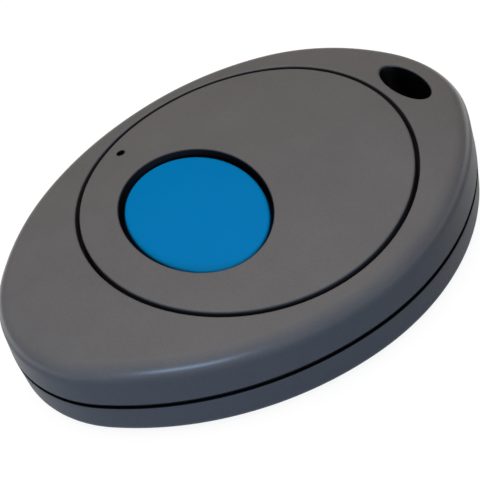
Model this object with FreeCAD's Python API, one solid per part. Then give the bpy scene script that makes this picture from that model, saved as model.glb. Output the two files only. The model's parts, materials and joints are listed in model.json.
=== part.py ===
"""Wireless push button: a key-fob transmitter with one thumb button.

Lengths are in millimetres. The origin is in the middle of the case's footprint, on the face
it lies on. +X runs along the case towards the key-ring hole, +Y across it, and +Z up through
the button.
"""
import FreeCAD, Part
import math
import os

from FreeCAD import Vector

# The case seen from above, measured from the middle of the round face disc
ring_tip = 27.5            # to the tip with the key-ring hole
blind_tip = 31.0           # to the plain tip
case_width = 44.4
ring_tip_radius = 14.0
blind_tip_radius = 15.2

# The crown of the case: a long gentle arc that rolls down towards both tips
spine_radius = 316.0       # along the case
roll_radius = 56.0         # along the case, near each tip
ring_roll_start = 14.0     # from the middle of the disc
blind_roll_start = 18.0
cross_radius = 104.0       # across the case

# Walls and edges
wall = 1.6
floor = 1.4
deck = 1.1                 # the floor of the recess that the disc lies in
disc_edge = 1.25           # thickness of the disc at its thinnest edge
disc_skin = 1.4
disc_rim = 1.4
parting_height = 4.5       # top of the lower shell's outer wall
side_lean_upper = 0.3      # how far the upper side leans in for the mould
side_lean_lower = 0.23
top_edge_radius = 2.2
bottom_edge_radius = 1.4

# The seal between the shells and the tongue that lines them up
seal_thickness = 0.45
seal_recess = 0.3
seal_width = 0.6
tongue_height = 1.2        # above the lower shell's outer wall
tongue_clearance = 0.1

# The round disc and its groove
groove_radius = 19.0
groove_width = 0.45
disc_edge_radius = 0.25
recess_wall = 1.6          # wall round the recess, under the crown
stake_radius = 0.8
stake_circle = 16.4
stake_clearance = 0.1
stake_head_radius = 1.3
stake_head = 0.4

# The thumb button, an oval that is longer across the case
button_back = 6.5          # its middle, from the middle of the disc towards the plain tip
button_length_x = 14.7
button_length_y = 19.8
button_gap = 0.5           # all round, to the lip of the disc's hole
button_lip_radius = 0.2
button_recess = 0.6        # below the lip
button_skin = 1.3
button_travel = 0.4
flange_reach = 0.7         # past the lip of the hole, under the disc
flange_thickness = 0.8
flange_rest_gap = 0.05     # under the disc's collar
flange_side_gap = 0.3      # to the deck
collar_seat = 0.8          # how far the disc's collar rests on the deck
button_wall = 1.2
button_edge_radius = 0.35
stem_radius = 2.2

# The return pad under the flange
pad_wall = 1.0
pad_inset = 0.3            # inside the flange's edge

# The key-ring hole
ring_hole_offset = 22.4    # from the middle of the disc
ring_hole_x = 3.9
ring_hole_y = 7.9
ring_hole_wall = 1.2
lip_radius = 0.25          # round the mouths of the ring hole and the recess

# The coin cell and its contacts
cell_radius = 10.0
cell_height = 3.2
cell_cap_radius = 8.9
cell_cap_height = 0.3
cell_back = 3.0            # its middle, from the middle of the disc towards the plain tip
cell_play = 0.25           # to the well round it
well_height = 1.2
well_wall = 0.8
clip_thickness = 0.25
clip_width = 5.0
clip_floor_gap = 0.25
clip_side_gap = 0.3
clip_foot = 1.6
contact_radius = 4.0
contact_thickness = 0.2

# The circuit board
board_thickness = 1.0
board_margin = 0.3         # to the tongue
board_end = 17.0           # its straight edge, from the middle of the disc
headroom = 1.6             # from the board up to the deck
board_hole_gap = 0.25      # round the screw bosses

# Screws and what they hold
screw_radius = 0.95
screw_clearance = 0.2      # in the lower shell
screw_head_radius = 1.8
screw_head = 1.2
screw_head_gap = 0.15
screw_sink = 0.5           # below the bottom face
screw_length = 6.0         # under the head
pilot_gap = 0.05
pilot_end = 0.3
boss_wall = 1.3
boss_gap = 0.1             # between a post and the boss that lands on it
screw_head_flat = 1.45     # radius of the head's flat middle
screw_head_rise = 0.5      # of the head's rounded edge
cross_slot = 0.45
cross_length = 2.0
cross_depth = 0.7
blind_screw_back = 24.4
ring_screw_ahead = 12.5
ring_screw_inset = 8.8     # from the case's widest side
pillar_radius = 1.2
pillar_places = ((-13.5, 12.5), (-13.5, -12.5), (14.6, 5.6), (14.6, -5.6))

# The tact switch under the button
switch_side = 6.2
switch_height = 2.4
switch_cover_sheet = 0.2
switch_cavity_radius = 2.5
switch_cavity_floor = 1.1
dome_thickness = 0.1
dome_margin = 0.2
plunger_radius = 1.75
plunger_gap = 0.1
plunger_collar = 0.4
plunger_collar_radius = 2.2
plunger_rise = 0.5         # above the cover
plunger_nib_radius = 0.7
touch_gap = 0.02           # from the nib to the dome
switch_lead_reach = 1.4
switch_lead_width = 0.6

# The lamp and its light guide
lamp_back = 7.5
lamp_side = 14.95
lamp_hole_radius = 0.45
lamp_length = 1.6
lamp_width = 1.0
lamp_height = 0.7
guide_body_radius = 0.8
guide_flange_radius = 1.3
guide_flange = 0.3
guide_tip_radius = 0.4
guide_tip_recess = 0.5
guide_gap = 0.1
guide_lamp_gap = 0.3

# Chips and small parts on the board
controller_size = (4.9, 3.9, 1.1)
controller_place = (7.6, 4.6)
controller_lift = 0.1
lead_width = 0.4
lead_pitch = 1.27
lead_thickness = 0.18
lead_reach = 1.0
leads_per_side = 4
radio_size = (4.0, 4.0, 0.85)
radio_place = (7.6, -4.4)
crystal_size = (3.2, 2.5, 0.8)
crystal_place = (3.6, -11.6)
crystal_brim = 0.25
capacitor_size = (1.6, 0.8, 0.8)
capacitor_places = ((4.2, 11.0), (6.8, 11.0), (2.0, 14.0), (4.6, 14.0), (7.2, 14.0), (8.6, -9.6))
resistor_size = (1.6, 0.8, 0.45)
resistor_places = ((2.0, 16.4), (4.6, 16.4), (4.6, -15.4), (7.2, -15.4), (2.0, -15.4), (-11.0, 15.6))
inductor_size = (2.0, 1.25, 0.9)
inductor_place = (7.4, -12.4)
screw_inductor_ahead = 11.0
screw_inductor_gap = 3.8   # to the middle of the screw that it stands beside
end_cap = 0.3              # metal ends of the small parts
end_cap_step = 0.04        # how far an end stands out from the middle
antenna_radius = 13.2      # of the loop, round the middle of the disc
antenna_wire = 0.35        # radius of the wire
antenna_half_angle = 32.0
antenna_lift = 0.7         # middle of the wire above the board

# Places and levels that follow from the sizes above
disc_x = (blind_tip - ring_tip) / 2
button_x = disc_x - button_back
cell_x = disc_x - cell_back
ring_hole_middle = disc_x + ring_hole_offset
ring_screw_side = case_width / 2 - ring_screw_inset
lamp_x = disc_x - lamp_back
inductor_places = (inductor_place, (screw_inductor_ahead, screw_inductor_gap - ring_screw_side))
screw_places = (
    (disc_x - blind_screw_back, 0.0),
    (disc_x + ring_screw_ahead, ring_screw_side),
    (disc_x + ring_screw_ahead, -ring_screw_side),
)
post_radius = screw_radius + screw_clearance + boss_wall
seal_top = parting_height + seal_thickness
cell_bottom = floor + clip_floor_gap + clip_thickness
board_bottom = cell_bottom + cell_height + contact_thickness
board_top = board_bottom + board_thickness
deck_bottom = board_top + headroom
deck_top = deck_bottom + deck
crown_edge_drop = cross_radius - math.sqrt(cross_radius**2 - groove_radius**2)
crown_top = deck_top + disc_edge + crown_edge_drop
disc_radius = groove_radius - groove_width / 2
recess_radius = groove_radius + groove_width / 2
hole_x = button_length_x / 2 + button_gap
hole_y = button_length_y / 2 + button_gap
deck_hole_grow = flange_reach + flange_side_gap
flange_top = deck_top - flange_rest_gap
flange_bottom = flange_top - flange_thickness
switch_top = board_top + switch_height + switch_cover_sheet
dome_rise = button_travel + dome_thickness
plunger_top = switch_top + plunger_rise
stake_places = ((disc_x + stake_circle, 0.0), (disc_x, stake_circle), (disc_x, -stake_circle))
screw_seat = screw_sink + screw_head
screw_tip = screw_seat + screw_length
tall = 40.0                # higher than anything in the case
on_line = 0.001            # how near a point is to a line that it lies on
parts_folder = "parts"


def cylinder(x, y, radius, low, high):
    """A round bar that stands at x, y from one level to another."""
    return Part.makeCylinder(radius, high - low, Vector(x, y, low))


def block(x, y, low, size):
    """A block of the given size that stands centred at x, y."""
    length, width, height = size
    return Part.makeBox(length, width, height, Vector(x - length / 2, y - width / 2, low))


def oval(x, half_x, half_y, low, high):
    """An oval bar on the case's long axis, longer across the case than along it."""
    ellipse = Part.Ellipse(Vector(0, 0, 0), half_y, half_x).toShape()
    face = Part.Face(Part.Wire(ellipse))
    face.rotate(Vector(0, 0, 0), Vector(0, 0, 1), 90)
    face.translate(Vector(x, 0, low))
    return face.extrude(Vector(0, 0, high - low))


def arc(middle, radius, start, end, level):
    """A level arc round a middle point, anticlockwise between two angles."""
    circle = Part.Circle(Vector(middle[0], middle[1], level), Vector(0, 0, 1), radius)
    return Part.ArcOfCircle(circle, start, end).toShape()


def outline(inset, level):
    """The almond outline of the case: four side arcs and two tip arcs, all tangent."""
    edges = []
    for tip, tip_radius, turn in ((ring_tip, ring_tip_radius, 0), (blind_tip, blind_tip_radius, math.pi)):
        reach = tip - tip_radius
        half = case_width / 2
        side_radius = (reach**2 + half**2 - tip_radius**2) / (case_width - 2 * tip_radius)
        side_offset = side_radius - half
        meet = math.atan2(side_offset, reach)
        sign = 1 if turn == 0 else -1
        sides = (disc_x, -sign * side_offset), (disc_x, sign * side_offset)
        tip_middle = (disc_x + sign * reach, 0)
        quarter = math.pi / 2
        edges.append(arc(sides[1], side_radius - inset, turn - quarter, turn - meet, level))
        edges.append(arc(tip_middle, tip_radius - inset, turn - meet, turn + meet, level))
        edges.append(arc(sides[0], side_radius - inset, turn + meet, turn + quarter, level))
    return Part.Wire(edges)


def outline_bar(inset, low, high):
    """An upright bar with the case's outline."""
    return Part.Face(outline(inset, low)).extrude(Vector(0, 0, high - low))


def leaning_bar(low_inset, low, high_inset, high):
    """A bar with the case's outline whose sides lean."""
    return Part.makeLoft([outline(low_inset, low), outline(high_inset, high)], True, True)


def below_crown(drop):
    """Everything under the crown, lowered by a drop.

    The cross arc is swept along the spine: one long arc, with a tighter one towards each tip.
    """
    top = crown_top - drop
    spine_middle = Vector(disc_x, 0, top - spine_radius)
    ring_angle = math.asin(ring_roll_start / spine_radius)
    blind_angle = math.asin(blind_roll_start / spine_radius)
    roll_angle = math.asin(blind_tip / roll_radius)

    def on_spine(middle, radius, angle):
        return middle + Vector(radius * math.sin(angle), 0, radius * math.cos(angle))

    edges = []
    ring_middle = on_spine(spine_middle, spine_radius - roll_radius, ring_angle)
    blind_middle = on_spine(spine_middle, spine_radius - roll_radius, -blind_angle)
    stations = (
        (blind_middle, roll_radius, -blind_angle - roll_angle, -blind_angle),
        (spine_middle, spine_radius, -blind_angle, ring_angle),
        (ring_middle, roll_radius, ring_angle, ring_angle + roll_angle),
    )
    for middle, radius, start, end in stations:
        points = [on_spine(middle, radius, start + share * (end - start)) for share in (0, 0.5, 1)]
        edges.append(Part.Arc(*points).toShape())
    spine = Part.Wire(edges)

    half = case_width * 0.6
    edge_drop = cross_radius - math.sqrt(cross_radius**2 - half**2)
    depth = crown_top + edge_drop
    top_arc = Part.Arc(Vector(0, -half, -edge_drop), Vector(0, 0, 0), Vector(0, half, -edge_drop))
    corners = [Vector(0, half, -edge_drop), Vector(0, half, -depth),
               Vector(0, -half, -depth), Vector(0, -half, -edge_drop)]
    section = Part.Face(Part.Wire([top_arc.toShape()] + Part.makePolygon(corners).Edges))
    start_angle = stations[0][2]
    section.rotate(Vector(0, 0, 0), Vector(0, 1, 0), math.degrees(start_angle))
    section.translate(on_spine(blind_middle, roll_radius, start_angle))
    return spine.makePipe(section)


def write(name, shape):
    """Save one piece."""
    shape.exportStep(os.path.join(parts_folder, name + ".step"))


def upright(edge):
    """True for an edge that climbs more than it runs."""
    box = edge.BoundBox
    return box.ZMax - box.ZMin > max(box.XMax - box.XMin, box.YMax - box.YMin)


def upper_shell():
    """The crowned upper shell, with the round recess for the disc and its oval opening."""
    form = leaning_bar(0, seal_top, side_lean_upper, crown_top).common(below_crown(0))
    shell = form.makeFillet(top_edge_radius, [edge for edge in form.Edges if on_rim(edge)])

    # The room inside: under the deck, and at both tips up to the crown's underside
    recess_tower = cylinder(disc_x, 0, recess_radius + recess_wall, 0, tall)
    shell = shell.cut(outline_bar(wall, 0, deck_bottom))
    roof_room = outline_bar(wall, deck_bottom, tall).common(below_crown(wall)).cut(recess_tower)
    shell = shell.cut(roof_room)
    rebate_inset = seal_recess + seal_width - tongue_clearance
    shell = shell.cut(outline_bar(rebate_inset, 0, parting_height + tongue_height + tongue_clearance))

    # Screw bosses, hold-down pillars and the sleeve of the key-ring hole
    under_skin = below_crown(wall / 2)
    sleeve = oval(ring_hole_middle, ring_hole_x / 2 + ring_hole_wall, ring_hole_y / 2 + ring_hole_wall,
                  seal_top, tall)
    added = [sleeve.common(under_skin)]
    for x, y in screw_places:
        added.append(cylinder(x, y, post_radius, seal_top + boss_gap, tall).common(under_skin))
    for x, y in pillar_places:
        added.append(cylinder(disc_x + x, y, pillar_radius, board_top, deck_bottom + deck / 2))
    shell = shell.fuse(added)

    # The recess and the holes
    cuts = [cylinder(disc_x, 0, recess_radius, deck_top, tall)]
    cuts.append(oval(button_x, hole_x + deck_hole_grow, hole_y + deck_hole_grow, 0, tall))
    cuts.append(oval(ring_hole_middle, ring_hole_x / 2, ring_hole_y / 2, 0, tall))
    cuts.append(cylinder(lamp_x, lamp_side, guide_body_radius + guide_gap, 0, tall))
    for x, y in stake_places:
        cuts.append(cylinder(x, y, stake_radius + stake_clearance, 0, tall))
    for x, y in screw_places:
        cuts.append(cylinder(x, y, screw_radius + pilot_gap, 0, screw_tip + pilot_end))
    shell = shell.cut(cuts).removeSplitter()
    half_x = ring_hole_x / 2
    half_y = ring_hole_y / 2
    lips = [edge for edge in shell.Edges if round_circle(edge, recess_radius, deck_top + disc_edge / 2)]
    lips += [edge for edge in shell.Edges if round_oval(edge, ring_hole_middle, half_x, half_y, deck_bottom)]
    return shell.makeFillet(lip_radius, lips)


def on_rim(edge):
    """True for an edge of the crowned form that lies along its outline."""
    middle = middle_of(edge)
    inside = outline_bar(side_lean_upper + wall / 4, 0, tall)
    return middle.z > seal_top and not upright(edge) and not inside.isInside(middle, on_line, True)


def lower_shell():
    """The tray: floor, wall, tongue, screw posts, board pillars and the well for the cell."""
    shell = leaning_bar(side_lean_lower, 0, 0, parting_height)
    bottom = [edge for edge in shell.Edges if middle_of(edge).z < on_line]
    shell = shell.makeFillet(bottom_edge_radius, bottom)
    shell = shell.cut(outline_bar(wall, floor, tall))
    tongue_inset = seal_recess + seal_width
    tongue = outline_bar(tongue_inset, parting_height - wall, parting_height + tongue_height)
    tongue = tongue.cut(outline_bar(wall, 0, tall))

    # What stands on the floor
    sleeve = oval(ring_hole_middle, ring_hole_x / 2 + ring_hole_wall, ring_hole_y / 2 + ring_hole_wall,
                  floor / 2, seal_top)
    added = [tongue, sleeve]
    well_inside = cell_radius + cell_play
    well = cylinder(cell_x, 0, well_inside + well_wall, floor / 2, floor + well_height)
    well = well.cut(cylinder(cell_x, 0, well_inside, floor, tall))
    notch = (clip_width + 2 * clip_side_gap, case_width, tall)
    well = well.cut(block(cell_x, 0, floor, notch))
    added.append(well)
    for x, y in screw_places:
        added.append(cylinder(x, y, post_radius, floor / 2, seal_top))
    for x, y in pillar_places:
        added.append(cylinder(disc_x + x, y, pillar_radius, floor / 2, board_bottom))
    shell = shell.fuse(added)

    cuts = [oval(ring_hole_middle, ring_hole_x / 2, ring_hole_y / 2, -1, tall)]
    for x, y in screw_places:
        cuts.append(cylinder(x, y, screw_radius + screw_clearance, -1, tall))
        cuts.append(cylinder(x, y, screw_head_radius + screw_head_gap, -1, screw_seat))
    return shell.cut(cuts).removeSplitter()


def parting_seal():
    """The black seal that fills the groove between the shells."""
    ring = outline_bar(seal_recess, parting_height, seal_top)
    return ring.cut(outline_bar(seal_recess + seal_width, 0, tall))


def face_disc():
    """The round disc: crowned like the case, cored from below, with a collar and stakes."""
    disc = cylinder(disc_x, 0, disc_radius, deck_top, tall).common(below_crown(0))
    top = [edge for edge in disc.Edges if round_circle(edge, disc_radius, deck_top + disc_edge / 2)]
    disc = disc.makeFillet(disc_edge_radius, top)
    core = cylinder(disc_x, 0, disc_radius - disc_rim, 0, tall).common(below_crown(disc_skin))
    collar_grow = deck_hole_grow + collar_seat
    core = core.cut(oval(button_x, hole_x + collar_grow, hole_y + collar_grow, 0, tall))
    pocket_radius = guide_flange_radius + guide_gap
    pocket = cylinder(lamp_x, lamp_side, pocket_radius, 0, deck_top + guide_flange + guide_gap)
    disc = disc.cut([core, pocket])
    under_skin = below_crown(disc_skin / 2)
    stakes = []
    for x, y in stake_places:
        stakes.append(cylinder(x, y, stake_radius, deck_bottom - stake_head, tall).common(under_skin))
        stakes.append(cylinder(x, y, stake_head_radius, deck_bottom - stake_head, deck_bottom))
    disc = disc.fuse(stakes)
    disc = disc.cut(oval(button_x, hole_x, hole_y, 0, tall))
    lip = [edge for edge in disc.Edges if round_oval(edge, button_x, hole_x, hole_y, deck_top + disc_skin)]
    disc = disc.makeFillet(button_lip_radius, lip)
    return disc.cut(cylinder(lamp_x, lamp_side, lamp_hole_radius, deck_top, tall)).removeSplitter()


def middle_of(edge):
    """The point half way along an edge."""
    return edge.valueAt((edge.FirstParameter + edge.LastParameter) / 2)


def round_circle(edge, radius, level):
    """True for an edge on a circle round the middle of the disc, above a level."""
    middle = middle_of(edge)
    return abs(math.hypot(middle.x - disc_x, middle.y) - radius) < on_line and middle.z > level


def round_oval(edge, x, half_x, half_y, level):
    """True for an edge on an oval about x, above a level."""
    middle = middle_of(edge)
    reach = math.hypot((middle.x - x) / half_x, middle.y / half_y)
    return abs(reach - 1) < on_line and middle.z > level and not upright(edge)


def push_button():
    """The thumb button: a crowned oval cap with a flange below and a stem on the switch."""
    half_x = button_length_x / 2
    half_y = button_length_y / 2
    cap = oval(button_x, half_x, half_y, flange_bottom, tall).common(below_crown(button_recess))
    rim = [edge for edge in cap.Edges if round_oval(edge, button_x, half_x, half_y, flange_top)]
    cap = cap.makeFillet(button_edge_radius, rim)
    flange = oval(button_x, hole_x + flange_reach, hole_y + flange_reach, flange_bottom, flange_top)
    cap = cap.fuse(flange)
    skin = button_recess + button_skin
    inside = oval(button_x, half_x - button_wall, half_y - button_wall, 0, tall).common(below_crown(skin))
    cap = cap.cut(inside)
    stem = cylinder(button_x, 0, stem_radius, plunger_top, tall)
    return cap.fuse(stem.common(below_crown(skin - button_skin / 2))).removeSplitter()


def return_pad():
    """The silicone sleeve that lifts the button again."""
    half_x = hole_x + flange_reach - pad_inset
    half_y = hole_y + flange_reach - pad_inset
    sleeve = oval(button_x, half_x, half_y, board_top, flange_bottom)
    return sleeve.cut(oval(button_x, half_x - pad_wall, half_y - pad_wall, 0, tall))


def circuit_board():
    """The board: the case's outline inside the tongue, cut straight ahead of the ring hole."""
    board = outline_bar(wall + board_margin, board_bottom, board_top)
    keep = Part.makeBox(tall * 2, tall * 2, tall, Vector(disc_x + board_end - tall * 2, -tall, 0))
    board = board.common(keep)
    holes = [cylinder(x, y, post_radius + board_hole_gap, 0, tall) for x, y in screw_places]
    return board.cut(holes)


def coin_cell():
    """The cell: its can below, the narrower cap above."""
    edge = cell_cap_height
    gap = (cell_radius - cell_cap_radius) / 3
    can_top = cell_height - cell_cap_height
    points = [(0, 0), (cell_radius - edge, 0), (cell_radius, edge), (cell_radius, can_top - edge),
              (cell_radius - edge, can_top), (cell_cap_radius + gap, can_top),
              (cell_cap_radius + gap, can_top - edge), (cell_cap_radius, can_top - edge),
              (cell_cap_radius, cell_height - edge / 2), (cell_cap_radius - edge / 2, cell_height),
              (0, cell_height)]
    return turned(points, cell_x, 0, cell_bottom)


def turned(points, x, y, low):
    """A turned piece from radius and height pairs, standing at x, y."""
    corners = [Vector(radius, 0, height) for radius, height in points]
    face = Part.Face(Part.makePolygon(corners + [corners[0]]))
    solid = face.revolve(Vector(0, 0, 0), Vector(0, 0, 1), 360)
    solid.translate(Vector(x, y, low))
    return solid


def cell_clip():
    """The spring strip under the cell, bent up at both ends to feet on the board."""
    leg_in = cell_radius + clip_side_gap
    leg_out = leg_in + clip_thickness
    foot = leg_out + clip_foot
    low = cell_bottom - clip_thickness
    foot_low = board_bottom - clip_thickness
    right = [(leg_out, low), (leg_out, foot_low), (foot, foot_low), (foot, board_bottom),
             (leg_in, board_bottom), (leg_in, cell_bottom)]
    left = [(-y, z) for y, z in reversed(right)]
    corners = [Vector(cell_x - clip_width / 2, y, z) for y, z in right + left]
    face = Part.Face(Part.makePolygon(corners + [corners[0]]))
    return face.extrude(Vector(clip_width, 0, 0))


def cell_contact():
    """The round contact between the board and the cell's cap."""
    return cylinder(cell_x, 0, contact_radius, board_bottom - contact_thickness, board_bottom)


def case_screws():
    """The pan-head screws that hold the shells together, from below."""
    screws = []
    for x, y in screw_places:
        points = [(0, screw_sink), (screw_head_flat, screw_sink),
                  (screw_head_radius, screw_sink + screw_head_rise), (screw_head_radius, screw_seat),
                  (screw_radius, screw_seat), (screw_radius, screw_tip - screw_radius),
                  (0, screw_tip)]
        screw = turned(points, x, y, 0)
        for length, width in ((cross_length, cross_slot), (cross_slot, cross_length)):
            screw = screw.cut(block(x, y, 0, (length, width, screw_sink + cross_depth)))
        screws.append(screw)
    return Part.makeCompound(screws)


def switch_base():
    """The switch's moulded body with its round cavity."""
    base = block(button_x, 0, board_top, (switch_side, switch_side, switch_height))
    return base.cut(cylinder(button_x, 0, switch_cavity_radius, board_top + switch_cavity_floor, tall))


def switch_cover():
    """The metal cover that is folded down over two sides of the switch."""
    sheet = switch_cover_sheet
    top = switch_top - sheet
    cover = block(button_x, 0, top, (switch_side, switch_side + 2 * sheet, sheet))
    cover = cover.cut(cylinder(button_x, 0, plunger_radius + plunger_gap, 0, tall))
    tabs = []
    for side in (1, -1):
        y = side * (switch_side + sheet) / 2
        size = (switch_side / 2, sheet, switch_height / 2)
        tabs.append(block(button_x, y, top - switch_height / 2, size))
    return cover.fuse(tabs).removeSplitter()


def switch_plunger():
    """The plunger: a nib on the dome, a collar under the cover and a neck up to the stem."""
    dome_top = board_top + switch_cavity_floor + dome_rise
    low = dome_top + touch_gap
    collar_top = switch_top - switch_cover_sheet - flange_rest_gap
    collar_low = collar_top - plunger_collar
    bevel = plunger_gap
    points = [(0, low), (plunger_nib_radius, low), (plunger_nib_radius, collar_low),
              (plunger_collar_radius, collar_low), (plunger_collar_radius, collar_top),
              (plunger_radius, collar_top), (plunger_radius, plunger_top - bevel),
              (plunger_radius - bevel, plunger_top), (0, plunger_top)]
    return turned(points, button_x, 0, 0)


def switch_dome():
    """The thin snap dome under the plunger."""
    rim = switch_cavity_radius - dome_margin
    outer_radius = (rim**2 + dome_rise**2) / (2 * dome_rise)
    inner_radius = outer_radius - dome_thickness
    level = board_top + switch_cavity_floor
    middle = Vector(button_x, 0, level + dome_rise - outer_radius)
    dome = Part.makeSphere(outer_radius, middle).cut(Part.makeSphere(inner_radius, middle))
    return dome.common(cylinder(button_x, 0, rim * 2, level, tall))


def lead(reach, width, top, thickness):
    """A gull-wing lead that leaves a body towards +X at the origin and steps down to level 0."""
    middle = reach / 2
    points = [(0, top), (middle, top), (middle, thickness), (reach, thickness), (reach, 0),
              (middle - thickness, 0), (middle - thickness, top - thickness), (0, top - thickness)]
    corners = [Vector(x, -width / 2, z) for x, z in points]
    face = Part.Face(Part.makePolygon(corners + [corners[0]]))
    return face.extrude(Vector(0, width, 0))


def placed(shape, turn, x, y, z):
    """A copy that is turned about the upright axis and then moved."""
    copy = shape.copy()
    copy.rotate(Vector(0, 0, 0), Vector(0, 0, 1), turn)
    copy.translate(Vector(x, y, z))
    return copy


def switch_leads():
    """The four leads of the switch."""
    one = lead(switch_lead_reach, switch_lead_width, switch_cavity_floor / 2, lead_thickness)
    leads = []
    for side, turn in ((1, 0), (-1, 180)):
        for y in (-switch_side / 3, switch_side / 3):
            leads.append(placed(one, turn, button_x + side * switch_side / 2, y, board_top))
    return Part.makeCompound(leads)


def status_led():
    """The small lamp on the board under the light guide."""
    body = block(lamp_x, lamp_side, board_top, (lamp_length, lamp_width, lamp_height / 2))
    lens = block(lamp_x, lamp_side, board_top + lamp_height / 2,
                 (lamp_length - 2 * end_cap, lamp_width, lamp_height / 2))
    return body.fuse(lens)


def light_guide():
    """The clear guide from the lamp to the small hole in the disc."""
    low = board_top + lamp_height + guide_lamp_gap
    guide = cylinder(lamp_x, lamp_side, guide_body_radius, low, deck_top + guide_flange)
    flange = cylinder(lamp_x, lamp_side, guide_flange_radius, deck_top, deck_top + guide_flange)
    tip = cylinder(lamp_x, lamp_side, guide_tip_radius, deck_top, tall)
    return guide.fuse([flange, tip.common(below_crown(guide_tip_recess))]).removeSplitter()


def on_board(size, place, lift=0.0):
    """A block on the board, placed from the middle of the disc."""
    return block(disc_x + place[0], place[1], board_top + lift, size)


def microcontroller():
    """The controller's moulded body."""
    body = on_board(controller_size, controller_place, controller_lift)
    top = [edge for edge in body.Edges if edge.BoundBox.ZMin > board_top + controller_size[2]]
    return body.makeChamfer(lead_thickness, top)


def microcontroller_leads():
    """The controller's leads, along its two long sides."""
    one = lead(lead_reach, lead_width, controller_lift + controller_size[2] / 2, lead_thickness)
    leads = []
    first = -lead_pitch * (leads_per_side - 1) / 2
    for side, turn in ((1, 90), (-1, -90)):
        for count in range(leads_per_side):
            x = disc_x + controller_place[0] + first + count * lead_pitch
            y = controller_place[1] + side * controller_size[1] / 2
            leads.append(placed(one, turn, x, y, board_top))
    return Part.makeCompound(leads)


def radio_chip():
    """The flat radio chip."""
    return on_board(radio_size, radio_place)


def crystal_can():
    """The timing crystal in its metal can, with a brim round the foot."""
    length, width, height = crystal_size
    brim = on_board((length, width, crystal_brim), crystal_place)
    can = on_board((length - crystal_brim * 2, width - crystal_brim * 2, height), crystal_place)
    return brim.fuse(can).removeSplitter()


def small_parts(size, places):
    """Like small parts with a metal cap on each end."""
    length, width, height = size
    parts = []
    for place in places:
        step = end_cap_step
        middle = on_board((length - end_cap, width - 2 * step, height - step), place)
        caps = [on_board((end_cap, width, height), (place[0] + side * (length - end_cap) / 2, place[1]))
                for side in (-1, 1)]
        parts.append(middle.fuse(caps).removeSplitter())
    return Part.makeCompound(parts)


def antenna_loop():
    """The wire loop round the ring end of the board, with a leg at each end."""
    level = board_top + antenna_lift
    angle = math.radians(antenna_half_angle)
    path = Part.Wire(arc((disc_x, 0), antenna_radius, -angle, angle, level))
    pieces = []
    for side in (-1, 1):
        x = disc_x + antenna_radius * math.cos(angle)
        y = side * antenna_radius * math.sin(angle)
        pieces.append(cylinder(x, y, antenna_wire, board_top, level))
        pieces.append(Part.makeSphere(antenna_wire, Vector(x, y, level)))
    start = Vector(disc_x + antenna_radius * math.cos(angle), -antenna_radius * math.sin(angle), level)
    along = Vector(math.sin(angle), math.cos(angle), 0)
    ring = Part.Wire(Part.Circle(start, along, antenna_wire).toShape())
    loop = path.makePipe(Part.Face(ring))
    return loop.fuse(pieces).removeSplitter()


os.makedirs(parts_folder, exist_ok=True)
write("upper_shell", upper_shell())
write("lower_shell", lower_shell())
write("parting_seal", parting_seal())
write("face_disc", face_disc())
write("push_button", push_button())
write("return_pad", return_pad())
write("circuit_board", circuit_board())
write("coin_cell", coin_cell())
write("cell_clip", cell_clip())
write("cell_contact", cell_contact())
write("case_screws", case_screws())
write("switch_base", switch_base())
write("switch_cover", switch_cover())
write("switch_plunger", switch_plunger())
write("switch_dome", switch_dome())
write("switch_leads", switch_leads())
write("status_led", status_led())
write("light_guide", light_guide())
write("microcontroller", microcontroller())
write("microcontroller_leads", microcontroller_leads())
write("radio_chip", radio_chip())
write("crystal_can", crystal_can())
write("antenna_loop", antenna_loop())
write("chip_capacitors", small_parts(capacitor_size, capacitor_places))
write("chip_resistors", small_parts(resistor_size, resistor_places))
write("chip_inductors", small_parts(inductor_size, inductor_places))
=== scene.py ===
"""The looks of a wireless push button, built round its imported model.

Places are worked out in millimetres, in the model's own frame, and become metres in the meshes.
"""
import json
import math

import bmesh
import bpy
import numpy as np
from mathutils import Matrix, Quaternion, Vector


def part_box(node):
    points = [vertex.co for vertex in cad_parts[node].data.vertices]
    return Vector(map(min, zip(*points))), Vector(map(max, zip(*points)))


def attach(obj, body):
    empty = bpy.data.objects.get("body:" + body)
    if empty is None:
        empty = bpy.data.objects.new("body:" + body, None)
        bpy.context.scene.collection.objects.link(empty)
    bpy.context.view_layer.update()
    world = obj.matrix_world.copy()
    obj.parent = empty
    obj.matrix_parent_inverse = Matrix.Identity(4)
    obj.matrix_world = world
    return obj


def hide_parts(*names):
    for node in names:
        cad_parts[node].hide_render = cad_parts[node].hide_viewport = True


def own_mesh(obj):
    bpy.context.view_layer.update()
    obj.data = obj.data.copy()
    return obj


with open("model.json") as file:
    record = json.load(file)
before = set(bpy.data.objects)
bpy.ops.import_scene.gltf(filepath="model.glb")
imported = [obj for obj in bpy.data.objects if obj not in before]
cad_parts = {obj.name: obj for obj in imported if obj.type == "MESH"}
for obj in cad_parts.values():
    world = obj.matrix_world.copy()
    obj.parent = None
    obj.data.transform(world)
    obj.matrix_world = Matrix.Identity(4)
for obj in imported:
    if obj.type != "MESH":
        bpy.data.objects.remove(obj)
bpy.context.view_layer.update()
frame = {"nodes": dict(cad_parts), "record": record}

# The lower shell is the moulded tray of the case, in dark grey spark-textured plastic. Its floor
# carries the screw posts, the board's pillars, the well of the cell and the sleeve of the ring
# hole, and a tongue stands round its rim.
mm = 0.001
columns = 512              # round the case
seam = math.radians(135)   # where the columns start, clear of every hole
ring_tip_radius = 14.0
blind_tip_radius = 15.2
wall = 1.6
floor_level = 1.4
lower_lean = 0.23          # how far the side comes in from the parting line to the foot
bottom_edge_radius = 1.4
edge_break = 0.08          # the small radius of a moulded edge
tongue_inset = 0.9
tongue_height = 1.2
screw_hole_radius = 1.15
screw_post_radius = 2.45
screw_seat = 1.7
screws_from_disc = ((-24.4, 0.0), (12.5, 13.4), (12.5, -13.4))
head_recess_radius = 1.95
head_recess_lip = 0.12
pillar_radius = 1.2
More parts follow.
